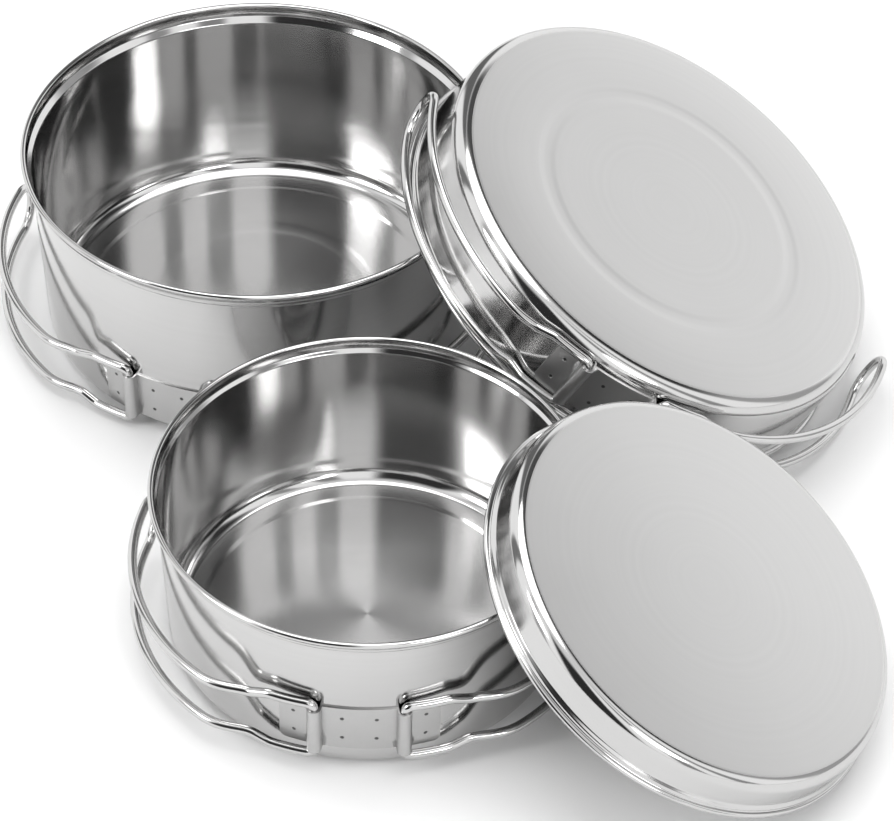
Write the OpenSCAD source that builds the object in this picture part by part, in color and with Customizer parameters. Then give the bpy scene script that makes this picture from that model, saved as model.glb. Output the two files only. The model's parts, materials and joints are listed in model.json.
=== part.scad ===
// Camping cook pot set: two pots, a frying pan and a lid, in sheet steel.
// Each pot and the pan has a welded strap bracket with two folding wire
// handles. The pan and the lid lie upside down, each propped on a pot's rim.
// The origin is the centre of the large pot's base, on the ground, +Z up.

/* [Sheet steel] */
// Thickness of the drawn sheet
sheet_t = 0.6; // [0.4:0.1:1]
// Draft of every side wall, in degrees
wall_draft = 2.2; // [1:0.1:3]
// Diameter of the rolled bead round each rim
bead_d = 2.4; // [2:0.1:3.5]
// Depth of the shallow ring pressed into a base
ring_depth = 0.2; // [0.1:0.1:0.6]

/* [Large pot] */
// Radius over the rim bead
large_rim_r = 100; // [85:1:125]
// Height from the ground to the top of the bead
large_h = 89.5; // [70:0.5:120]
// Radius of the corner between base and wall
large_corner_r = 9; // [5:0.5:14]
// Step out from the wall to the neck under the bead
large_step = 2.2; // [0.8:0.1:4]
// Height of the neck under the bead
large_neck_h = 6; // [3:0.5:10]
// Radius of the ring pressed into the base
large_ring_r = 49; // [25:1:65]
// Direction of the bracket, in degrees
large_turn = -110.5; // [-120:0.5:-105]

/* [Small pot] */
// Radius over the rim bead
small_rim_r = 84.7; // [70:0.1:92]
// Height from the ground to the top of the bead
small_h = 74.7; // [60:0.1:95]
// Radius of the corner between base and wall
small_corner_r = 9; // [5:0.5:14]
// Step out from the wall to the neck under the bead
small_step = 1.4; // [0.8:0.1:4]
// Height of the neck under the bead
small_neck_h = 5; // [3:0.5:10]
// Direction of the bracket, in degrees
small_turn = -90; // [-100:0.5:-80]

/* [Frying pan] */
// How far the pan's rim stands out past the large pot's rim
pan_overhang = 4.7; // [3.5:0.1:8]
// Height from the base to the top of the bead
pan_h = 39.3; // [36:0.1:50]
// Radius of the corner between base and wall
pan_corner_r = 7; // [4:0.5:10]
// Step out from the wall to the neck under the bead
pan_step = 0.9; // [0.6:0.1:2]
// Height of the neck under the bead
pan_neck_h = 4; // [3:0.5:8]
// Radius of the ring pressed into the base
pan_ring_r = 60; // [30:1:70]
// Direction of the bracket round the pan, in degrees
pan_turn = 87; // [80:0.5:95]
// Direction in which the pan leans down, in degrees
pan_lean_turn = -12.2; // [-16:0.1:-8]

/* [Small lid] */
// How far the lid's rim stands out past the small pot's rim
lid_overhang = 3.9; // [3:0.1:8]
// Height from the top disc to the edge of the bead
lid_h = 19.3; // [15:0.1:26]
// Radius of the corner between disc and wall
lid_corner_r = 5; // [3:0.5:8]
// Step out from the wall to the neck under the bead
lid_step = 1.2; // [0.6:0.1:2]
// Height of the neck under the bead
lid_neck_h = 4; // [3:0.5:8]
// Direction in which the lid leans down, in degrees
lid_lean_turn = -12.5; // [-16:0.1:-8]

/* [Brackets] */
// Thickness of the strap that a bracket is pressed from
strap_t = 0.8; // [0.6:0.1:1.2]
// Height of a bracket
bracket_h = 23; // [18:0.5:26]
// Distance between a bracket's two hinge barrels
barrel_span = 34.2; // [28:0.2:44]
// Width of the whole bracket across its flanges
bracket_w = 61; // [54:0.5:76]
// Height of the large pot's bracket above the ground
large_bracket_z = 7; // [6.5:0.5:30]
// Height of the small pot's bracket above the ground
small_bracket_z = 12.5; // [6.5:0.5:30]
// Height of the pan's bracket above its base
pan_bracket_z = 8; // [6.5:0.5:11]
// Diameter of a spot weld's dimple
weld_d = 1.8; // [1.2:0.1:2.4]
// Depth of a spot weld's dimple
weld_depth = 0.3; // [0.2:0.05:0.4]

/* [Wire handles] */
// Diameter of the handle wire
wire_d = 3.8; // [3:0.1:4.4]
// Gap between a wire leg and its barrel
leg_gap = 0.08; // [0.04:0.01:0.1]
// Gap between a wire leg and the wall behind it
wall_gap = 0.4; // [0.2:0.1:1]
// Length of a handle along its curve, from hinge to end
handle_reach = 158; // [130:1:175]
// Half the spacing of the two strands where they wrap round
strand_half = 11.3; // [9:0.1:13]
// How far the large pot's handles bow out past their hinges
large_bow = 4.5; // [2:0.1:9]
// How far the small pot's handles bow out past their hinges
small_bow = 5.2; // [2:0.1:9]
// How far the pan's handles bow out past their hinges
pan_bow = 2.4; // [1.8:0.1:6]
// Opening of each handle as it lies, in degrees
large_left_open = 6.5; // [0:0.5:12]
large_right_open = 1; // [0:0.5:3]
small_left_open = 1.5; // [0:0.5:8]
small_right_open = 1.5; // [0:0.5:3]
pan_left_open = 0.5; // [0:0.5:3]
pan_right_open = 3.5; // [0:0.5:6]

/* [Layout] */
// Gap between the two pots' rims
pot_gap = 11.2; // [10:0.1:30]
// Direction from the large pot to the small pot, in degrees
small_pot_turn = -73.8; // [-80:0.1:-68]
// How far the lid's rim circle laps over the small pot's, seen from above
lid_lap = 47.5; // [44:0.1:52]
// How far towards -Y of the small pot's axis the lid's centre lies
lid_shift = 33.4; // [28:0.1:38]
// Gap between the lid's bead and the small pot's bead where they cross
lid_cross_gap = 2.63; // [0.4:0.01:5]
// How far the pan's rim circle laps over the large pot's, seen from above
pan_lap = 45.95; // [42:0.05:50]
// Gap along Y between the pan's bracket and the lid's rim, seen from above
pan_lid_gap = 0.42; // [0.2:0.01:6]
// Gap between the pan's bead and the large pot's bead where they cross
pan_cross_gap = 0.65; // [0.4:0.01:5]
// Gap between a leaning rim and the ground
rest_gap = 0.3; // [0.1:0.1:1]

/* [Hidden] */
$fn = 96;

steel = [0.80, 0.80, 0.81];
strap_steel = [0.72, 0.72, 0.73];
wire_steel = [0.62, 0.62, 0.64];

bead_lap = 0.15;             // how far the neck bites into the bead
ring_curve_r = 4;            // section radius of the tool that presses the ring
leg_r = wire_d / 2;
bore_r = leg_r + leg_gap;    // inside radius of a hinge barrel
barrel_r = bore_r + strap_t; // outside radius of a hinge barrel
wire_bend_r = leg_r + 0.4;   // centreline radius of the tight bend above a barrel
strand_lift = wire_bend_r + 0.1; // strand centre above the bracket's edge
leg_end_gap = 1;             // each leg stops this far from the bracket's middle
hug_len = 15;                // how far a strand follows the wall past its hinge
dip_len = 9;                 // run over which the strands close up after that
dip_r = 4;                   // centreline radius of the bends that close them up
bow_angle = 10;              // how sharply it turns out, in degrees
bow_out_r = 15;              // centreline radius of the turn out
bow_in_r = 25;               // centreline radius of the turn back
corner_round = 2.5;          // rounding of the bracket's outer corners
wire_sides = 12;             // flats round the wire

// A vessel is [rim radius, height, corner radius, step, neck height, ring radius],
// with a ring radius of 0 where the base is plain.
pan_rim_r = large_rim_r + pan_overhang;
lid_rim_r = small_rim_r + lid_overhang;
large_vessel = [large_rim_r, large_h, large_corner_r, large_step, large_neck_h, large_ring_r];
small_vessel = [small_rim_r, small_h, small_corner_r, small_step, small_neck_h, 0];
pan_vessel = [pan_rim_r, pan_h, pan_corner_r, pan_step, pan_neck_h, pan_ring_r];
lid_vessel = [lid_rim_r, lid_h, lid_corner_r, lid_step, lid_neck_h, 0];

// Outside radius of the neck, and of the wall's top where the step begins.
function neck_r(v) = v[0] - bead_d + bead_lap + sheet_t;
function step_z(v) = v[1] - v[4] - v[3];
function wall_r(v, z) = neck_r(v) - v[3] - (step_z(v) - z) * tan(wall_draft);
// Radius of a hinge axis on a vessel whose bracket tops out at height z.
function hinge_r(v, z) = wall_r(v, z) + wall_gap + leg_r;
// Angle from the bracket's middle to a hinge axis.
function hinge_angle(v, z) = asin(barrel_span / 2 / hinge_r(v, z));

// ---- sheet vessels -------------------------------------------------------

// Half outline of a vessel's solid shape, drawn in by t from the outside face.
module vessel_outline(v, t, top) {
    c = v[2] - t;
    r0 = wall_r(v, 0) - t / cos(wall_draft);
    corner_x = r0 + v[2] * tan(wall_draft) - c / cos(wall_draft);
    touch_x = corner_x + c * cos(wall_draft);
    touch_z = v[2] - c * sin(wall_draft);
    polygon([
        [0, t], [corner_x, t], [touch_x, touch_z],
        [wall_r(v, step_z(v)) - t, step_z(v)],
        [neck_r(v) - t, v[1] - v[4]],
        [neck_r(v) - t, top], [0, top]
    ]);
    translate([corner_x, v[2]]) circle(c);
}

module base_ring(v, z) {
    rotate_extrude()
        translate([v[5], z + ring_depth - ring_curve_r]) circle(ring_curve_r);
}

// One drawn vessel, standing on its base at z = 0 with its mouth up.
module vessel(v) {
    bead_z = v[1] - bead_d / 2;
    difference() {
        rotate_extrude() {
            difference() {
                union() {
                    vessel_outline(v, 0, bead_z);
                    translate([v[0] - bead_d / 2, bead_z]) circle(d = bead_d);
                }
                if (v[5] == 0) vessel_outline(v, sheet_t, v[1] + 1);
            }
        }
        if (v[5] > 0) {
            base_ring(v, 0);
            difference() {
                rotate_extrude() vessel_outline(v, sheet_t, v[1] + 1);
                base_ring(v, sheet_t);
            }
        }
    }
}

// ---- brackets ------------------------------------------------------------

// Solid cone that fills a vessel's wall between two heights, grown by t.
module wall_core(v, z0, z1, t) {
    rotate_extrude()
        polygon([
            [0, z0], [wall_r(v, z0) + t, z0],
            [wall_r(v, z1) + t, z1], [0, z1]
        ]);
}

// Points along an arc about x, y, from angle a0 to angle a1, in n steps.
function arc(x, y, r, a0, a1, n) =
    [for (i = [0:n]) let (a = a0 + (a1 - a0) * i / n) [x + r * cos(a), y + r * sin(a)]];

module rounded_plate(w, h, r) {
    x = w / 2 - r;
    y = h / 2 - r;
    polygon(concat(
        arc(x, y, r, 0, 90, 6), arc(-x, y, r, 90, 180, 6),
        arc(-x, -y, r, 180, 270, 6), arc(x, -y, r, 270, 360, 6)
    ));
}

// Plan of a U channel along the hinge axis: round in front, open to the wall.
module channel_plan(r, depth) {
    circle(r);
    translate([-depth, -r]) square([depth, 2 * r]);
}

// Puts its children on both hinge axes of a bracket that tops out at z1.
module on_hinges(v, z1) {
    for (s = [-1, 1])
        rotate([0, 0, s * hinge_angle(v, z1)]) translate([hinge_r(v, z1), 0, 0]) children();
}

// A strap bracket on a standing vessel, centred on the +X side, its lower
// edge at height z0.
module bracket(v, z0) {
    z1 = z0 + bracket_h;
    mid = (z0 + z1) / 2;
    depth = hinge_r(v, z1) - wall_r(v, z0) + 1;
    weld_z = bracket_h * 0.24;
    pad_weld_y = barrel_span * 0.19;
    flange_weld_y = (bracket_w / 2 + barrel_span / 2 + barrel_r) / 2;
    difference() {
        union() {
            difference() {
                intersection() {
                    difference() {
                        wall_core(v, z0, z1, strap_t);
                        wall_core(v, z0 - 1, z1 + 1, 0);
                    }
                    translate([wall_r(v, z0) * 0.8, 0, mid]) rotate([90, 0, 90])
                        linear_extrude(height = wall_r(v, z0))
                            rounded_plate(bracket_w, bracket_h, corner_round);
                }
                on_hinges(v, z1) translate([0, 0, z0 - 1])
                    linear_extrude(height = bracket_h + 2) channel_plan(bore_r, depth + 1);
            }
            difference() {
                on_hinges(v, z1) translate([0, 0, z0])
                    linear_extrude(height = bracket_h)
                        difference() {
                            channel_plan(barrel_r, depth);
                            channel_plan(bore_r, depth + 1);
                        }
                wall_core(v, z0 - 1, z1 + 1, 0);
            }
        }
        for (s = [-1, 1], y = [pad_weld_y, flange_weld_y], z = [-weld_z, weld_z])
            spot_weld(v, s * y, mid + z);
    }
}

// Dimple pressed into the strap's face at side offset y and height z.
module spot_weld(v, y, z) {
    face_r = wall_r(v, z) + strap_t;
    ball_r = (weld_d * weld_d / 4 + weld_depth * weld_depth) / (2 * weld_depth);
    rotate([0, 0, asin(y / face_r)])
        translate([face_r + ball_r - weld_depth, 0, z]) sphere(ball_r);
}

// ---- wire handles --------------------------------------------------------

// The wire follows a path of steps. A step is [length, angle, plane, pieces]:
// the wire runs on by length while it turns through angle, which is 0 for a
// straight. The plane says which way it turns, from these four.
IN = 0;
OUT = 180;
DOWN = -90;
UP = 90;

function move(p) = [[1, 0, 0, p[0]], [0, 1, 0, p[1]], [0, 0, 1, p[2]], [0, 0, 0, 1]];
function about_y(a) = [[cos(a), 0, sin(a), 0], [0, 1, 0, 0], [-sin(a), 0, cos(a), 0], [0, 0, 0, 1]];
function about_z(a) = [[cos(a), -sin(a), 0, 0], [sin(a), cos(a), 0, 0], [0, 0, 1, 0], [0, 0, 0, 1]];
rising = [[1, 0, 0, 0], [0, 0, -1, 0], [0, 1, 0, 0], [0, 0, 0, 1]];
function at(m) = [m[0][3], m[1][3], m[2][3]];
function bend(r, angle, plane, pieces) = [r * angle * PI / 180, angle, plane, pieces];
function run(len) = [len, 0, IN, 1];

// Where a share of a step leads, as seen from its start.
function along(step, share) =
    let (
        a = step[1] * share,
        r = step[1] == 0 ? 0 : step[0] / (step[1] * PI / 180),
        to = step[1] == 0 ? [0, step[0] * share, 0] : [-r * (1 - cos(a)), r * sin(a), 0]
    )
    about_y(step[2]) * move(to) * about_z(a) * about_y(-step[2]);

// Points along a path of steps, without its starting point.
function trail(steps, from, i = 0) =
    i == len(steps) ? [] :
        concat(
            [for (k = [1:steps[i][3]]) at(from * along(steps[i], k / steps[i][3]))],
            trail(steps, from * along(steps[i], 1), i + 1)
        );

// Two opposite bends with a straight between them that bring the strand down
// by drop, towards the handle's middle plane, over a run of dip_len.
function dip(drop) =
    let (
        centres = norm([dip_len, 2 * dip_r - drop]),
        angle = asin(2 * dip_r / centres) - atan2(2 * dip_r - drop, dip_len)
    )
    [
        bend(dip_r, angle, DOWN, 3),
        run(sqrt(centres * centres - 4 * dip_r * dip_r)),
        bend(dip_r, angle, UP, 3)
    ];

// The bow is a turn out, a straight and a turn back that runs into a circle of
// radius wrap_r round the vessel's axis. This is the centre of the turn back
// if the straight had no length, from the vessel's axis.
function bow_start(axis_r) = [
    dip_len + (bow_out_r + bow_in_r) * sin(bow_angle),
    axis_r + bow_out_r * (1 - cos(bow_angle)) - bow_in_r * cos(bow_angle)
];
bow_dir = [cos(bow_angle), sin(bow_angle)];

// Length of the bow's straight.
function bow_len(axis_r, wrap_r) =
    let (c = bow_start(axis_r), ahead = c * bow_dir)
    sqrt(ahead * ahead - c * c + pow(wrap_r - bow_in_r, 2)) - ahead;

// Angle round the vessel's axis from the dip's start to the wrap's start.
function bow_turn(axis_r, wrap_r) =
    let (c = bow_start(axis_r) + bow_len(axis_r, wrap_r) * bow_dir)
    atan2(c[0], c[1]);

// Centreline of a handle's upper half, from the foot of its leg to the middle
// of its end loop. The hinge axis is at the origin, and z = 0 is the handle's
// middle plane.
function half_path(axis_r, bow) =
    let (
        wrap_r = axis_r + bow,
        start_z = bracket_h / 2 + strand_lift,
        back_angle = bow_angle + bow_turn(axis_r, wrap_r),
        to_wrap = concat(
            [bend(wire_bend_r, 90, DOWN, 6), bend(axis_r, hug_len / axis_r * 180 / PI, IN, 3)],
            dip(start_z - strand_half),
            [
                bend(bow_out_r, bow_angle, OUT, 2),
                run(bow_len(axis_r, wrap_r)),
                bend(bow_in_r, back_angle, IN, 4)
            ]
        ),
        used = strand_half + [for (s = to_wrap) 1] * [for (s = to_wrap) s[0]],
        steps = concat(to_wrap, [
            bend(wrap_r, (handle_reach - used) / wrap_r * 180 / PI, IN, 16),
            bend(strand_half, 90, DOWN, 7)
        ]),
        leg_top = [0, 0, start_z - wire_bend_r]
    )
    concat([[0, 0, leg_end_gap], leg_top], trail(steps, move(leg_top) * rising));

// Tube of wire along a list of points, whose two ends are level faces.
module tube(points) {
    last = len(points) - 1;
    function unit(v) = v / norm(v);
    dirs = [for (i = [0:last])
        i == 0 ? [0, 0, 1] : i == last ? [0, 0, -1] : unit(points[i + 1] - points[i - 1])];
    sides = [for (
        i = 0, s = [1, 0, 0];
        i <= last;
        i = i + 1,
        s = i > last ? s : unit(s - (s * dirs[i]) * dirs[i])
    ) s];
    ring = [for (i = [0:last], k = [0:wire_sides - 1])
        let (a = 360 * k / wire_sides)
        points[i] + leg_r * (cos(a) * sides[i] + sin(a) * cross(dirs[i], sides[i]))];
    walls = [for (i = [0:last - 1], k = [0:wire_sides - 1])
        let (n = (k + 1) % wire_sides, row = i * wire_sides)
        each [
            [row + k, row + wire_sides + k, row + n],
            [row + n, row + wire_sides + k, row + wire_sides + n]
        ]];
    start = [for (k = [0:wire_sides - 1]) k];
    end = [for (k = [wire_sides - 1:-1:0]) last * wire_sides + k];
    polyhedron(points = ring, faces = concat([start], walls, [end]));
}

// A whole handle on a standing vessel whose bracket is centred on +X. side is
// 1 for the handle on the +Y side and -1 for its mirror image.
module handle(v, bracket_z, bow, side, open) {
    z1 = bracket_z + bracket_h;
    axis_r = hinge_r(v, z1);
    mirror([0, side < 0 ? 1 : 0, 0])
        rotate([0, 0, hinge_angle(v, z1)])
        translate([axis_r, 0, bracket_z + bracket_h / 2])
        rotate([0, 0, -open]) {
            half = half_path(axis_r, bow);
            lower = [for (i = [len(half) - 2:-1:0]) [half[i][0], half[i][1], -half[i][2]]];
            tube(concat(half, lower));
        }
}

// ---- places --------------------------------------------------------------

module place_large() {
    rotate([0, 0, large_turn]) children();
}

small_x = (large_rim_r + small_rim_r + pot_gap) * cos(small_pot_turn);
small_y = (large_rim_r + small_rim_r + pot_gap) * sin(small_pot_turn);

// Centre of the lid's rim circle, from the small pot's axis.
lid_dy = -lid_shift;
lid_dx = sqrt(pow(small_rim_r + lid_rim_r - lid_lap, 2) - lid_dy * lid_dy);

// Centre of the pan's rim circle.
pan_bracket_reach = hinge_r(pan_vessel, pan_bracket_z + bracket_h) + barrel_r;
pan_y = small_y + lid_dy + lid_rim_r + pan_bracket_reach + pan_lid_gap;
pan_x = sqrt(pow(large_rim_r + pan_rim_r - pan_lap, 2) - pan_y * pan_y);

// A leaning rim crosses the rim of the pot it leans on at two places. A place
// lies at an angle round the leaning rim, counted from its highest point, and
// rise is how far the bead has risen there from its lowest point.
function lean_sine(bead_circle_r, rise, angle) = rise / (bead_circle_r * (1 + cos(angle)));

// How far outside the pot's bead circle that place lies: below 0 is inside.
// ahead and aside are the leaning centre's offsets from the pot's axis along
// and across the way it leans.
function lean_miss(bead_circle_r, pot_circle_r, ahead, aside, rise, angle, side) =
    let (
        sine = min(lean_sine(bead_circle_r, rise, angle), 1),
        out = ahead + bead_d / 2 * sine - bead_circle_r * sqrt(1 - sine * sine) * cos(angle),
        across = aside + side * bead_circle_r * sin(angle)
    )
    norm([out, across]) - pot_circle_r;

// The crossing's angle, found by halving the span from low to high.
function crossing(bead_circle_r, pot_circle_r, ahead, aside, rise, side, low, high, halvings) =
    let (mid = (low + high) / 2)
    halvings == 0 ? mid :
    lean_miss(bead_circle_r, pot_circle_r, ahead, aside, rise, mid, side) > 0 ?
        crossing(bead_circle_r, pot_circle_r, ahead, aside, rise, side, low, mid, halvings - 1) :
        crossing(bead_circle_r, pot_circle_r, ahead, aside, rise, side, mid, high, halvings - 1);

// Tilt at which a leaning rim clears the pot's bead by gap at its nearer crossing.
function lean_tilt(v, pot, x, y, lean_turn, gap) =
    let (
        bead_circle_r = v[0] - bead_d / 2,
        ahead = x * cos(lean_turn) + y * sin(lean_turn),
        aside = y * cos(lean_turn) - x * sin(lean_turn),
        rise = pot[1] + gap - rest_gap
    )
    max([for (side = [-1, 1])
        asin(lean_sine(bead_circle_r, rise, crossing(bead_circle_r, pot[0] - bead_d / 2,
            ahead, aside, rise, side, 0, 90, 40)))]);

lid_tilt = lean_tilt(lid_vessel, small_vessel, lid_dx, lid_dy, lid_lean_turn, lid_cross_gap);
pan_tilt = lean_tilt(pan_vessel, large_vessel, pan_x, pan_y, pan_lean_turn, pan_cross_gap);

module place_small() {
    translate([small_x, small_y, 0]) rotate([0, 0, small_turn]) children();
}

// Height of a leaning rim's centre when its lowest bead clears the ground.
function lean_z(v, tilt) =
    (v[0] - bead_d / 2) * sin(tilt) - bead_d / 2 * cos(tilt) + bead_d / 2 + rest_gap;

// Turns a standing vessel upside down and leans it, its rim circle's centre
// over the point x, y.
module place_leaning(v, x, y, tilt, lean_turn) {
    translate([x, y, lean_z(v, tilt)])
        rotate([0, 0, lean_turn])
        rotate([0, tilt, 0])
        rotate([180, 0, 0])
        translate([0, 0, -v[1]])
        children();
}

module place_pan() {
    place_leaning(pan_vessel, pan_x, pan_y, pan_tilt, pan_lean_turn)
        rotate([0, 0, pan_turn]) children();
}

module place_lid() {
    place_leaning(lid_vessel, small_x + lid_dx, small_y + lid_dy, lid_tilt, lid_lean_turn)
        children();
}

// ---- pieces --------------------------------------------------------------

module large_pot() {
    color(steel) place_large() vessel(large_vessel);
}

module large_pot_bracket() {
    color(strap_steel) place_large() bracket(large_vessel, large_bracket_z);
}

module large_pot_left_handle() {
    color(wire_steel) place_large()
        handle(large_vessel, large_bracket_z, large_bow, -1, large_left_open);
}

module large_pot_right_handle() {
    color(wire_steel) place_large()
        handle(large_vessel, large_bracket_z, large_bow, 1, large_right_open);
}

module small_pot() {
    color(steel) place_small() vessel(small_vessel);
}

module small_pot_bracket() {
    color(strap_steel) place_small() bracket(small_vessel, small_bracket_z);
}

module small_pot_left_handle() {
    color(wire_steel) place_small()
        handle(small_vessel, small_bracket_z, small_bow, -1, small_left_open);
}

module small_pot_right_handle() {
    color(wire_steel) place_small()
        handle(small_vessel, small_bracket_z, small_bow, 1, small_right_open);
}

module frying_pan() {
    color(steel) place_pan() vessel(pan_vessel);
}

module frying_pan_bracket() {
    color(strap_steel) place_pan() bracket(pan_vessel, pan_bracket_z);
}

// The pan lies upside down, so its left handle is on the +Y side of its bracket.
module frying_pan_left_handle() {
    color(wire_steel) place_pan()
        handle(pan_vessel, pan_bracket_z, pan_bow, 1, pan_left_open);
}

module frying_pan_right_handle() {
    color(wire_steel) place_pan()
        handle(pan_vessel, pan_bracket_z, pan_bow, -1, pan_right_open);
}

module small_lid() {
    color(steel) place_lid() vessel(lid_vessel);
}

large_pot();
large_pot_bracket();
large_pot_left_handle();
large_pot_right_handle();
small_pot();
small_pot_bracket();
small_pot_left_handle();
small_pot_right_handle();
frying_pan();
frying_pan_bracket();
frying_pan_left_handle();
frying_pan_right_handle();
small_lid();
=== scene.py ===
"""Looks for the camping cook pot set: polished sheet steel, straps and wire."""
import json
import math

import bpy
from mathutils import Matrix, Vector


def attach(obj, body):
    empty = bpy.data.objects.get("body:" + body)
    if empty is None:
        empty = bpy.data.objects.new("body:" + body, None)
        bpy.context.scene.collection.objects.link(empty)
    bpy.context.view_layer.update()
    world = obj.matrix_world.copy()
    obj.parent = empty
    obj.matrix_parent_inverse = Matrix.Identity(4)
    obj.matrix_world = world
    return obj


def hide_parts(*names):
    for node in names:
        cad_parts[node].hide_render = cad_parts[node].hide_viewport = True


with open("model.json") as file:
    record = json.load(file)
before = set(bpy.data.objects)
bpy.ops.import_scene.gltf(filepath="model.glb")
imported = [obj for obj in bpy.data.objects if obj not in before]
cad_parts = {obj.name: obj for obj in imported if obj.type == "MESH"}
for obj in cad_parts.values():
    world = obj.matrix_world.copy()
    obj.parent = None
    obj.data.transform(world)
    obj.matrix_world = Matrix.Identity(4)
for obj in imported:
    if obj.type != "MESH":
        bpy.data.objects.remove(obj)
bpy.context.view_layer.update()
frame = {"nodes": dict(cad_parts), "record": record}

MM = 0.001

# ---- sizes, in millimetres, as the frame has them --------------------------

SHEET = 0.6
DRAFT = math.tan(math.radians(2.2))
BEAD_R = 1.2
BEAD_LAP = 0.15
STRAP_H = 23.0
STRAP_W = 61.0
BARREL_SPAN = 34.2
WIRE_R = 1.9
WALL_GAP = 0.4
REACH = 158.0
STRAND_HALF = 11.3
BARREL_WALL = 0.9       # wire leg's surface to the outside of its barrel, about
FLOOR_STEP = 0.45       # how far a pot's floor is pressed up inside its edge
NECK_FILLET = 1.2
FLOOR_FILLET = 2.5
SEGMENTS = 240          # faces round a vessel
BEAD_STEPS = 22         # faces round a rim bead's section


class Vessel:
    """Sizes of one drawn vessel and where it stands."""

    def __init__(self, rim_r, height, corner_r, step, neck_h, place, floor_r=0, ring_r=0,
                 bow=0.0, bracket_z=0.0, turn=0.0):
        self.rim_r, self.height, self.corner_r = rim_r, height, corner_r
        self.step, self.neck_h = step, neck_h
        self.floor_r, self.ring_r = floor_r, ring_r
        self.place = place
        self.bow, self.bracket_z, self.turn = bow, bracket_z, turn
        self.neck_r = rim_r - 2 * BEAD_R + BEAD_LAP + SHEET
        self.step_z = height - neck_h - step

    def wall_r(self, z):
        return self.neck_r - self.step - (self.step_z - z) * DRAFT

    @property
    def hinge_r(self):
        return self.wall_r(self.bracket_z + STRAP_H) + WALL_GAP + WIRE_R

    @property
    def hinge_angle(self):
        return math.asin(BARREL_SPAN / 2 / self.hinge_r)


def shift(x, y, z):
    return Matrix.Translation((x, y, z))


def turn_about(axis, degrees):
    return Matrix.Rotation(math.radians(degrees), 4, axis)


def upside_down(height, x, y, z, tilt, lean_turn):
    """Turns a standing vessel over and leans it, its rim circle's centre at x, y, z."""
    return (shift(x, y, z) @ turn_about("Z", lean_turn) @ turn_about("Y", tilt)
            @ turn_about("X", 180) @ shift(0, 0, -height))


def lean_height(rim_r, tilt, rest_gap=0.3):
    a = math.radians(tilt)
    return (rim_r - BEAD_R) * math.sin(a) - BEAD_R * math.cos(a) + BEAD_R + rest_gap


mounts = {m["name"]: Vector(m["pos_m"]) / MM for m in frame["record"]["mounts"]}
small_at = mounts["small_pot_base"]

large = Vessel(100, 89.5, 9, 2.2, 6, shift(0, 0, 0), floor_r=77.5, ring_r=49,
               bow=4.5, bracket_z=7, turn=-110.5)
small = Vessel(84.7, 74.7, 9, 1.4, 5, shift(*small_at), floor_r=66,
               bow=5.2, bracket_z=12.5, turn=-90)
pan = Vessel(104.7, 39.3, 7, 0.9, 4,
             upside_down(39.3, 156.704, -25.402, lean_height(104.7, 28.501), 28.501, -12.2),
             ring_r=60, bow=2.4, bracket_z=8, turn=87)
lid = Vessel(88.6, 19.3, 5, 1.2, 4,
             upside_down(19.3, small_at.x + 121.285, small_at.y - 33.4,
                         lean_height(88.6, 29.8), 29.8, -12.5))


# ---- shader arithmetic -------------------------------------------------------

STEEL_WARMTH = 0.004

class Value:
    """A number or vector in a node tree that takes plain arithmetic."""

    def __init__(self, tree, socket):
        self.tree, self.socket = tree, socket

    def node(self, kind, output=0, settings=None, **inputs):
        """Adds any node, with this tree's values or plain numbers on its inputs."""
        made = self.tree.nodes.new(kind)
        for key, value in (settings or {}).items():
            setattr(made, key, value)
        for key, value in inputs.items():
            slot = int(key[1:]) if key[0] == "i" and key[1:].isdigit() else key.replace("_", " ")
            if isinstance(value, Value):
                self.tree.links.new(value.socket, made.inputs[slot])
            else:
                made.inputs[slot].default_value = value
        return Value(self.tree, made.outputs[output])

    def maths(self, operation, *values):
        return self.node("ShaderNodeMath", settings={"operation": operation},
                         **{f"i{k}": v for k, v in enumerate(values)})

    def vector(self, operation, *values, output=0):
        return self.node("ShaderNodeVectorMath", output, settings={"operation": operation},
                         **{f"i{k}": v for k, v in enumerate(values)})

    def __add__(self, other): return self.maths("ADD", self, other)
    def __radd__(self, other): return self.maths("ADD", other, self)
    def __sub__(self, other): return self.maths("SUBTRACT", self, other)
    def __rsub__(self, other): return self.maths("SUBTRACT", other, self)
    def __mul__(self, other): return self.maths("MULTIPLY", self, other)
    def __rmul__(self, other): return self.maths("MULTIPLY", other, self)
    def __truediv__(self, other): return self.maths("DIVIDE", self, other)
    def __rtruediv__(self, other): return self.maths("DIVIDE", other, self)
    def __pow__(self, other): return self.maths("POWER", self, other)
    def __neg__(self): return self.maths("MULTIPLY", self, -1.0)

    def smooth(self, low, high, start=0.0, end=1.0):
        """Start below low, end above high, and an eased change between them."""
        return self.node("ShaderNodeMapRange", settings={"interpolation_type": "SMOOTHSTEP"},
                         Value=self, From_Min=low, From_Max=high, To_Min=start, To_Max=end)


def new_material(name):
    made = bpy.data.materials.new(name)
    made.use_nodes = True
    tree = made.node_tree
    tree.nodes.clear()
    shader = tree.nodes.new("ShaderNodeBsdfPrincipled")
    output = tree.nodes.new("ShaderNodeOutputMaterial")
    tree.links.new(shader.outputs[0], output.inputs[0])
    coords = tree.nodes.new("ShaderNodeTexCoord")
    return made, shader, Value(tree, coords.outputs["Object"])


def wire_up(shader, value, name):
    value.tree.links.new(value.socket, shader.inputs[name])


def noise(at, scale, detail=2.0, roughness=0.5, dimensions="3D"):
    inputs = {"Scale": scale, "Detail": detail, "Roughness": roughness}
    inputs["W" if dimensions == "1D" else "Vector"] = at
    return at.node("ShaderNodeTexNoise", settings={"noise_dimensions": dimensions}, **inputs)


def grey(value, warmth=0.0):
    """A steel grey of the given brightness."""
    return value.node("ShaderNodeCombineColor", Red=value * (1.0 + warmth), Green=value,
                      Blue=value * (1.0 - warmth))


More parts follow.
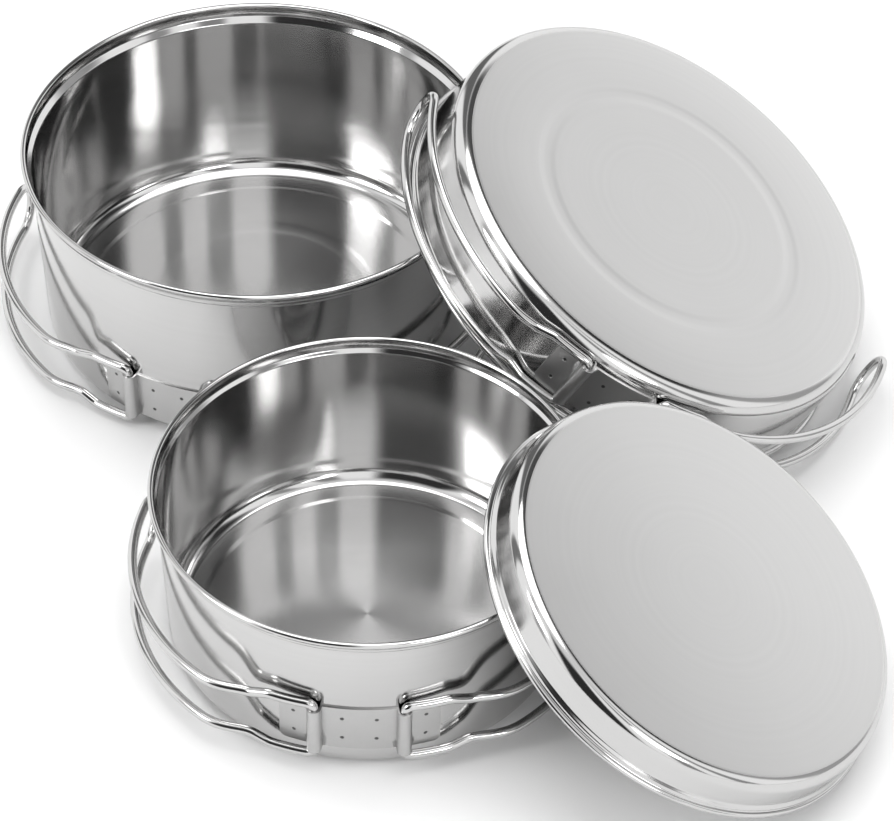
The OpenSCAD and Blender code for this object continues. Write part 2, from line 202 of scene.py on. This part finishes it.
def sheet_steel(name, vessel, rough, tone, brushed, ring_scale, on_disc):
    """Spun sheet: fine rings round the vessel's own axis, blotches and small scuffs."""
    made, shader, at = new_material(name)
    centre = vessel.place @ Vector((0, 0, 0)) * MM
    up = (vessel.place.to_3x3() @ Vector((0, 0, 1))).normalized()
    local = at.vector("SUBTRACT", at, tuple(centre))
    height = local.vector("DOT_PRODUCT", local, tuple(up), output=1)
    if on_disc:
        from_axis = local.vector("CROSS_PRODUCT", local, tuple(up))
        across = from_axis.vector("LENGTH", from_axis, output=1)
    else:
        across = height
    rings = noise(across, ring_scale, 3.0, 0.6, "1D")
    broad = noise(across, 420.0, 2.0, 0.5, "1D")
    blotch = noise(at, 28.0, 3.0)
    scuffs = noise(at, 900.0, 3.0, 0.65)
    changed = (blotch - 0.5) * 0.05 + (rings - 0.5) * 0.05 + (scuffs - 0.5) * 0.02
    wire_up(shader, rough + changed, "Roughness")
    shade = tone + (blotch - 0.5) * 0.03 + (broad - 0.5) * 0.025
    wire_up(shader, grey(shade, STEEL_WARMTH), "Base Color")
    shader.inputs["Metallic"].default_value = 1.0
    shader.inputs["Anisotropic"].default_value = brushed
    shader.inputs["Anisotropic Rotation"].default_value = 0.25
    dents = noise(at, 16.0, 1.0)
    level = rings * 0.000001 + broad * 0.000008 + dents * 0.0004
    bump = level.node("ShaderNodeBump", Strength=0.5, Distance=1.0, Height=level)
    wire_up(shader, bump, "Normal")
    return made


def bar_steel(name, rough, tone, grain, vessel=None):
    """Bright wire or strap with drawn streaks, small scuffs and a strap's weld marks."""
    made, shader, at = new_material(name)
    blotch = noise(at, 60.0, 3.0)
    streaks = noise(at.vector("MULTIPLY", at, grain), 900.0, 3.0, 0.6)
    scuffs = noise(at, 1500.0, 2.0, 0.7)
    wire_up(shader, rough + (blotch - 0.5) * 0.08 + (streaks - 0.5) * 0.10, "Roughness")
    shade = tone + (blotch - 0.5) * 0.05 + (scuffs - 0.5) * 0.04
    if vessel:
        shade = shade * (1.0 - weld_marks(at, vessel) * 0.8)
    wire_up(shader, grey(shade, STEEL_WARMTH), "Base Color")
    shader.inputs["Metallic"].default_value = 1.0
    level = streaks * 0.00002 + scuffs * 0.00001
    bump = level.node("ShaderNodeBump", Strength=0.5, Distance=1.0, Height=level)
    wire_up(shader, bump, "Normal")
    return made


def weld_marks(at, vessel):
    """1 in the eight spot welds of a vessel's strap, with a soft edge, and 0 elsewhere."""
    frame_at = vessel.place @ turn_about("Z", vessel.turn)
    frame_at = frame_at @ shift(0, 0, vessel.bracket_z + STRAP_H / 2)
    turned = frame_at.to_3x3()
    local = at.vector("SUBTRACT", at, tuple(frame_at.to_translation() * MM))
    out, side, up = (local.vector("DOT_PRODUCT", local, tuple(turned @ Vector(way)), output=1) / MM
                     for way in ((1, 0, 0), (0, 1, 0), (0, 0, 1)))
    around = out.maths("ARCTAN2", side, out) * vessel.wall_r(vessel.bracket_z + STRAP_H / 2)
    beside = around.maths("ABSOLUTE", around)
    above = up.maths("ABSOLUTE", up) - STRAP_H * 0.24
    barrel = BARREL_SPAN / 2
    flange = (STRAP_W / 2 + barrel + WIRE_R + BARREL_WALL) / 2
    near = None
    for centre in (BARREL_SPAN * 0.19, flange):
        off = beside - centre
        reach = (off * off + above * above) ** 0.5
        near = reach if near is None else near.maths("MINIMUM", near, reach)
    return near.smooth(0.55, 1.0, 1.0, 0.0)


# ---- drawn vessels -----------------------------------------------------------


def filleted(points):
    """Points of a polyline whose corners are rounded. Each item is (r, z, radius)."""
    out = []
    for k, (x, z, radius) in enumerate(points):
        here = Vector((x, z))
        if radius == 0 or k in (0, len(points) - 1):
            out.append(here)
            continue
        back = Vector(points[k - 1][:2]) - here
        ahead = Vector(points[k + 1][:2]) - here
        half = back.angle(ahead) / 2
        cut = min(radius / math.tan(half), back.length * 0.49, ahead.length * 0.49)
        radius = cut * math.tan(half)
        start, end = here + back.normalized() * cut, here + ahead.normalized() * cut
        inward = (back.normalized() + ahead.normalized()).normalized()
        centre = here + inward * radius / math.sin(half)
        a, b = start - centre, end - centre
        sweep = a.angle(b)
        steps = max(2, int(math.degrees(sweep) / 9))
        for i in range(steps + 1):
            share = i / steps
            out.append(centre + (a * math.sin((1 - share) * sweep)
                                 + b * math.sin(share * sweep)) / math.sin(sweep))
    return out


def vessel_profile(v):
    """Outline of the sheet from the outside centre round the rim to the inside centre."""
    corner_x = v.wall_r(0) + v.corner_r * DRAFT * 0.5
    bead_x, bead_z = v.rim_r - BEAD_R, v.height - BEAD_R
    start = math.acos((v.neck_r - bead_x) / BEAD_R)
    end = math.acos((v.neck_r - SHEET - bead_x) / BEAD_R)
    floor_z = SHEET + (FLOOR_STEP if v.floor_r else 0)
    outside = [(0, 0, 0)]
    if v.ring_r:
        outside += ring(v.ring_r, 0)
    outside += [
        (corner_x, 0, v.corner_r),
        (v.wall_r(v.step_z), v.step_z, NECK_FILLET),
        (v.neck_r, v.height - v.neck_h, NECK_FILLET),
        (v.neck_r, bead_z - BEAD_R * math.sin(start), 0),
    ]
    inside = [
        (v.neck_r - SHEET, bead_z + BEAD_R * math.sin(end), 0),
        (v.neck_r - SHEET, v.height - v.neck_h, NECK_FILLET),
        (v.wall_r(v.step_z) - SHEET, v.step_z, NECK_FILLET),
        (corner_x - SHEET, SHEET, v.corner_r - SHEET),
    ]
    if v.floor_r:
        inside += [(v.floor_r + 1.2, SHEET, FLOOR_FILLET), (v.floor_r - 1.2, floor_z, FLOOR_FILLET)]
    if v.ring_r:
        inside += reversed(ring(v.ring_r, floor_z))
    inside += [(0, floor_z, 0)]
    bead = []
    for i in range(1, BEAD_STEPS):
        a = -start + (start + end) * i / BEAD_STEPS
        bead.append(Vector((bead_x + BEAD_R * math.cos(a), bead_z + BEAD_R * math.sin(a))))
    return filleted(outside) + bead + filleted(inside)


def ring(radius, z):
    """A shallow rounded rib, pressed up from a base at height z."""
    rise, half, top, fillet, flat = 0.10, 4.0, 1.5, 30, 4
    return [(radius - half - flat, z, 0), (radius - half, z, fillet),
            (radius - top, z + rise, fillet), (radius + top, z + rise, fillet),
            (radius + half, z, fillet), (radius + half + flat, z, 0)]


def spun(name, profile, place):
    """A closed shell made by turning a profile about its vessel's axis."""
    closest = 0.02
    clean = [profile[0]]
    for p in profile[1:]:
        if (p - clean[-1]).length > closest:
            clean.append(p)
    verts, faces, rows = [], [], []
    for p in clean:
        if p.x < 0.01:
            rows.append([len(verts)])
            verts.append(place @ Vector((0, 0, p.y)) * MM)
            continue
        rows.append(list(range(len(verts), len(verts) + SEGMENTS)))
        for k in range(SEGMENTS):
            a = 2 * math.pi * k / SEGMENTS
            verts.append(place @ Vector((p.x * math.cos(a), p.x * math.sin(a), p.y)) * MM)
    for low, high in zip(rows, rows[1:]):
        for k in range(SEGMENTS):
            n = (k + 1) % SEGMENTS
            if len(low) == 1:
                faces.append((low[0], high[n], high[k]))
            elif len(high) == 1:
                faces.append((low[k], low[n], high[0]))
            else:
                faces.append((low[k], low[n], high[n], high[k]))
    mesh = bpy.data.meshes.new(name)
    mesh.from_pydata([tuple(p) for p in verts], [], faces)
    mesh.update()
    mesh.polygons.foreach_set("use_smooth", [True] * len(mesh.polygons))
    made = bpy.data.objects.new(name, mesh)
    bpy.context.scene.collection.objects.link(made)
    return made


def finish_faces(shell, vessel):
    """Gives a shell's wall, inside base and outside base their finishes, in that order."""
    upright = vessel.place.inverted() @ Matrix.Scale(1 / MM, 4)
    straight = vessel.place.to_3x3().inverted()
    flat_r = vessel.wall_r(0) - vessel.corner_r + 1.0
    for face in shell.data.polygons:
        p = upright @ face.center
        if math.hypot(p.x, p.y) < flat_r and p.z < 2.0:
            outside = p.z < SHEET * 0.5 + 0.1 and (straight @ face.normal).z < 0
            face.material_index = 2 if outside else 1


# ---- wire handles --------------------------------------------------------------

DIP_LEN, DIP_R = 9.0, 4.0
BOW_ANGLE, BOW_OUT_R, BOW_IN_R = math.radians(10), 15.0, 25.0
WIRE_BEND_R = WIRE_R + 0.4
STRAND_LIFT = 0.1       # gap between a strand's bend and the strap's edge
HUG_LEN = 15.0          # how far a strand follows the wall past its hinge
LEG_END_GAP = 1         # each leg stops this far from the strap's middle
IN, OUT, DOWN, UP = 0, 180, -90, 90


class Path:
    """A wire's centreline, laid step by step from a place and a heading."""

    def __init__(self, start):
        self.frame = start
        self.points = [start.to_translation()]

    def straight(self, length, pieces):
        for _ in range(pieces):
            self.frame = self.frame @ shift(0, length / pieces, 0)
            self.points.append(self.frame.to_translation())

    def bend(self, radius, angle, plane, pieces):
        tilt = turn_about("Y", plane)
        piece = angle / pieces
        step = (tilt @ shift(-radius * (1 - math.cos(piece)), radius * math.sin(piece), 0)
                @ Matrix.Rotation(piece, 4, "Z") @ tilt.inverted())
        for _ in range(pieces):
            self.frame = self.frame @ step
            self.points.append(self.frame.to_translation())


def half_handle(v):
    """Centreline of a handle's upper half, with its hinge axis at the origin."""
    axis_r, wrap_r = v.hinge_r, v.hinge_r + v.bow
    start_z = STRAP_H / 2 + WIRE_BEND_R + STRAND_LIFT
    leg_top = start_z - WIRE_BEND_R
    rising = Matrix(((1, 0, 0, 0), (0, 0, -1, 0), (0, 1, 0, leg_top), (0, 0, 0, 1)))
    path = Path(rising)
    path.bend(WIRE_BEND_R, math.pi / 2, DOWN, 12)
    path.bend(axis_r, HUG_LEN / axis_r, IN, 6)
    used = WIRE_BEND_R * math.pi / 2 + HUG_LEN
    drop = start_z - STRAND_HALF
    centres = math.hypot(DIP_LEN, 2 * DIP_R - drop)
    angle = math.asin(2 * DIP_R / centres) - math.atan2(2 * DIP_R - drop, DIP_LEN)
    slope = math.sqrt(centres ** 2 - 4 * DIP_R ** 2)
    path.bend(DIP_R, angle, DOWN, 6)
    path.straight(slope, 3)
    path.bend(DIP_R, angle, UP, 6)
    used += 2 * DIP_R * angle + slope
    begin = Vector((
        DIP_LEN + (BOW_OUT_R + BOW_IN_R) * math.sin(BOW_ANGLE),
        axis_r + BOW_OUT_R * (1 - math.cos(BOW_ANGLE)) - BOW_IN_R * math.cos(BOW_ANGLE)))
    way = Vector((math.cos(BOW_ANGLE), math.sin(BOW_ANGLE)))
    ahead = begin.dot(way)
    length = math.sqrt(ahead ** 2 - begin.dot(begin) + (wrap_r - BOW_IN_R) ** 2) - ahead
    met = begin + way * length
    back = BOW_ANGLE + math.atan2(met.x, met.y)
    path.bend(BOW_OUT_R, BOW_ANGLE, OUT, 6)
    path.straight(length, 3)
    path.bend(BOW_IN_R, back, IN, 10)
    used += BOW_OUT_R * BOW_ANGLE + length + BOW_IN_R * back + STRAND_HALF
    path.bend(wrap_r, (REACH - used) / wrap_r, IN, 40)
    path.bend(STRAND_HALF, math.pi / 2, DOWN, 14)
    legs = [Vector((0, 0, LEG_END_GAP + (leg_top - LEG_END_GAP) * k / 5)) for k in range(5)]
    return legs + path.points


def handle_points(v, side, opened):
    half = half_handle(v)
    lower = [Vector((p.x, p.y, -p.z)) for p in reversed(half[:-1])]
    place = v.place @ turn_about("Z", v.turn)
    if side < 0:
        place = place @ Matrix.Scale(-1, 4, Vector((0, 1, 0)))
    place = (place @ Matrix.Rotation(v.hinge_angle, 4, "Z")
             @ shift(v.hinge_r, 0, v.bracket_z + STRAP_H / 2) @ turn_about("Z", -opened))
    return [place @ p * MM for p in half + lower]


def wire_nodes():
    """Geometry nodes that sweep a round wire along a line of points."""
    tree = bpy.data.node_groups.new("round_wire", "GeometryNodeTree")
    for name, kind in (("Geometry", "Geometry"), ("Wire Radius", "Float"), ("Sides", "Int"),
                       ("Point Count", "Int"), ("Easing", "Int"), ("Material", "Material")):
        tree.interface.new_socket(name, in_out="INPUT", socket_type="NodeSocket" + kind)
    tree.interface.new_socket("Geometry", in_out="OUTPUT", socket_type="NodeSocketGeometry")
    add, link = tree.nodes.new, tree.links.new
    given, result = add("NodeGroupInput"), add("NodeGroupOutput")
    line, section = add("GeometryNodeMeshToCurve"), add("GeometryNodeCurvePrimitiveCircle")
    even, eased, moved = (add("GeometryNodeResampleCurve"), add("GeometryNodeBlurAttribute"),
                          add("GeometryNodeSetPosition"))
    spot = add("GeometryNodeInputPosition")
    eased.data_type = "FLOAT_VECTOR"
    link(given.outputs["Point Count"], even.inputs["Count"])
    link(given.outputs["Easing"], eased.inputs["Iterations"])
    link(line.outputs[0], even.inputs["Curve"])
    link(even.outputs[0], moved.inputs["Geometry"])
    link(spot.outputs[0], eased.inputs["Value"])
    link(eased.outputs[0], moved.inputs["Position"])
    sweep, shade = add("GeometryNodeCurveToMesh"), add("GeometryNodeSetShadeSmooth")
    real, coat = add("GeometryNodeRealizeInstances"), add("GeometryNodeSetMaterial")
    link(given.outputs["Geometry"], line.inputs[0])
    link(given.outputs["Wire Radius"], section.inputs["Radius"])
    link(given.outputs["Sides"], section.inputs["Resolution"])
    link(moved.outputs[0], sweep.inputs["Curve"])
    link(section.outputs[0], sweep.inputs["Profile Curve"])
    sweep.inputs["Fill Caps"].default_value = True
    link(sweep.outputs[0], shade.inputs[0])
    link(shade.outputs[0], real.inputs[0])
    link(real.outputs[0], coat.inputs[0])
    link(given.outputs["Material"], coat.inputs["Material"])
    link(coat.outputs[0], result.inputs[0])
    return tree


def bent_wire(name, points, tree, material):
    """A wire as a plain mesh, swept by the geometry nodes."""
    mesh = bpy.data.meshes.new(name + "_line")
    mesh.from_pydata([tuple(p) for p in points], [(k, k + 1) for k in range(len(points) - 1)], [])
    source = bpy.data.objects.new(name + "_line", mesh)
    bpy.context.scene.collection.objects.link(source)
    sweep = source.modifiers.new("wire", "NODES")
    sweep.node_group = tree
    settings = {"Wire Radius": WIRE_R * MM, "Sides": 20, "Point Count": 520, "Easing": 4,
                "Material": material}
    for item in tree.interface.items_tree:
        if item.in_out == "INPUT" and item.name in settings:
            sweep[item.identifier] = settings[item.name]
    source.update_tag()
    bpy.context.view_layer.update()
    whole = source.evaluated_get(bpy.context.evaluated_depsgraph_get())
    made = bpy.data.objects.new(name, bpy.data.meshes.new_from_object(whole))
    made.data.name = name
    bpy.context.scene.collection.objects.link(made)
    source.modifiers.remove(sweep)
    bpy.data.objects.remove(source)
    bpy.data.meshes.remove(mesh)
    return made


# ---- build ------------------------------------------------------------------------

wire_steel = bar_steel("wire_steel", 0.12, 0.56, (0.3, 0.3, 0.3))

for node, vessel in (("large_pot", large), ("small_pot", small), ("frying_pan", pan),
                     ("small_lid", lid)):
    shell = spun(node + "_sheet", vessel_profile(vessel), vessel.place)
    for part, rough, tone, brushed, ring_scale, on_disc in (
            ("_wall", 0.10, 0.56, 0.5, 5200.0, False),
            ("_inside_base", 0.20, 0.64, 0.7, 5200.0, True),
            ("_outside_base", 0.36, 0.63, 0.0, 3000.0, True)):
        shell.data.materials.append(
            sheet_steel(node + part, vessel, rough, tone, brushed, ring_scale, on_disc))
    finish_faces(shell, vessel)
    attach(shell, node)
    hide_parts(node)

round_wire = wire_nodes()
for node, vessel, side, opened in (
        ("large_pot_left_handle", large, -1, 6.5), ("large_pot_right_handle", large, 1, 1.0),
        ("small_pot_left_handle", small, -1, 1.5), ("small_pot_right_handle", small, 1, 1.5),
        ("frying_pan_left_handle", pan, 1, 0.5), ("frying_pan_right_handle", pan, -1, 3.5)):
    wire = bent_wire(node + "_wire", handle_points(vessel, side, opened), round_wire, wire_steel)
    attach(wire, node)
    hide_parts(node)

for node, vessel in (("large_pot_bracket", large), ("small_pot_bracket", small),
                     ("frying_pan_bracket", pan)):
    strap = bar_steel(node + "_steel", 0.36, 0.50, (1.0, 1.0, 0.12), vessel)
    for slot in frame["nodes"][node].material_slots:
        slot.material = strap


# ---- floor, light and camera ---------------------------------------------------------


def pale_floor():
    mesh = bpy.data.meshes.new("floor")
    wide = 6.0
    mesh.from_pydata([(-wide, -wide, 0), (wide, -wide, 0), (wide, wide, 0), (-wide, wide, 0)],
                     [], [(0, 1, 2, 3)])
    made = bpy.data.objects.new("floor", mesh)
    bpy.context.scene.collection.objects.link(made)
    paint, shader, at = new_material("floor_paint")
    mottle = noise(at, 3.0, 2.0)
    wire_up(shader, grey(0.90 + (mottle - 0.5) * 0.01), "Base Color")
    shader.inputs["Roughness"].default_value = 0.9
    mesh.materials.append(paint)


def studio_world():
    """Soft white surroundings with a few broad dark bands for the steel to reflect."""
    world = bpy.data.worlds.new("studio")
    bpy.context.scene.world = world
    world.use_nodes = True
    tree = world.node_tree
    tree.nodes.clear()
    coords = tree.nodes.new("ShaderNodeTexCoord")
    way = Value(tree, coords.outputs["Generated"])
    parts = tree.nodes.new("ShaderNodeSeparateXYZ")
    tree.links.new(way.socket, parts.inputs[0])
    x, y, z = (Value(tree, parts.outputs[k]) for k in range(3))
    around = x.maths("ARCTAN2", y, x)
    high = z.smooth(0.46, 0.60)
    bright = 1.32
    level = bright
    # Each dark band: its middle, where it is fully dark and where it ends, in degrees
    # round the scene, how dark it is, and whether it is only high up.
    for middle, inner, outer, depth, only_high in (
            (-116, 18, 28, 0.97, False), (45, 36, 52, 0.92, True), (104, 9, 15, 0.85, False),
            (-62, 4, 10, 0.75, False), (-33, 3, 8, 0.70, False), (-165, 3, 9, 0.55, False),
            (158, 4, 9, 0.80, False), (12, 6, 16, 0.60, False)):
        near = around.maths("COSINE", around - math.radians(middle))
        dark = near.smooth(math.cos(math.radians(outer)), math.cos(math.radians(inner)), 0.0, depth)
        level = level * (1.0 - (dark * high if only_high else dark))
    top = z.smooth(0.78, 0.94)
    level = level * (1.0 - top) + top
    surface = tree.nodes.new("ShaderNodeBackground")
    tree.links.new(level.socket, surface.inputs["Color"])
    surface.inputs["Strength"].default_value = 1.0
    output = tree.nodes.new("ShaderNodeOutputWorld")
    tree.links.new(surface.outputs[0], output.inputs[0])


def area_light(name, at, target, size, power):
    data = bpy.data.lights.new(name, "AREA")
    data.shape, data.size, data.energy = "DISK", size, power
    made = bpy.data.objects.new(name, data)
    made.location = at
    made.rotation_euler = (Vector(target) - Vector(at)).to_track_quat("-Z", "Y").to_euler()
    bpy.context.scene.collection.objects.link(made)


def view_camera():
    data = bpy.data.cameras.new("camera")
    data.lens, data.sensor_width = 126.9, 36.0
    made = bpy.data.objects.new("camera", data)
    pitch, roll = math.radians(43.45), math.radians(-1.75)
    stands_at = Vector((84.0, -1047.3, 928.15)) * MM
    ahead = Vector((0, math.cos(pitch), -math.sin(pitch)))
    down = Vector((0, -math.sin(pitch), -math.cos(pitch)))
    right = math.cos(roll) * Vector((1, 0, 0)) + math.sin(roll) * down
    up = right.cross(ahead)
    turn = Matrix((right, up, -ahead)).transposed()
    made.matrix_world = Matrix.Translation(stands_at) @ turn.to_4x4()
    bpy.context.scene.collection.objects.link(made)
    bpy.context.scene.camera = made


pale_floor()
studio_world()
area_light("overhead", (0.1, 0.1, 1.6), (0.08, -0.1, 0.0), 1.4, 12)
area_light("left", (-1.3, -0.7, 1.1), (0.05, -0.1, 0.05), 0.7, 8)
area_light("front", (0.9, -1.5, 0.9), (0.05, -0.1, 0.05), 0.7, 6)
bpy.context.scene.view_settings.view_transform = "Standard"
view_camera()
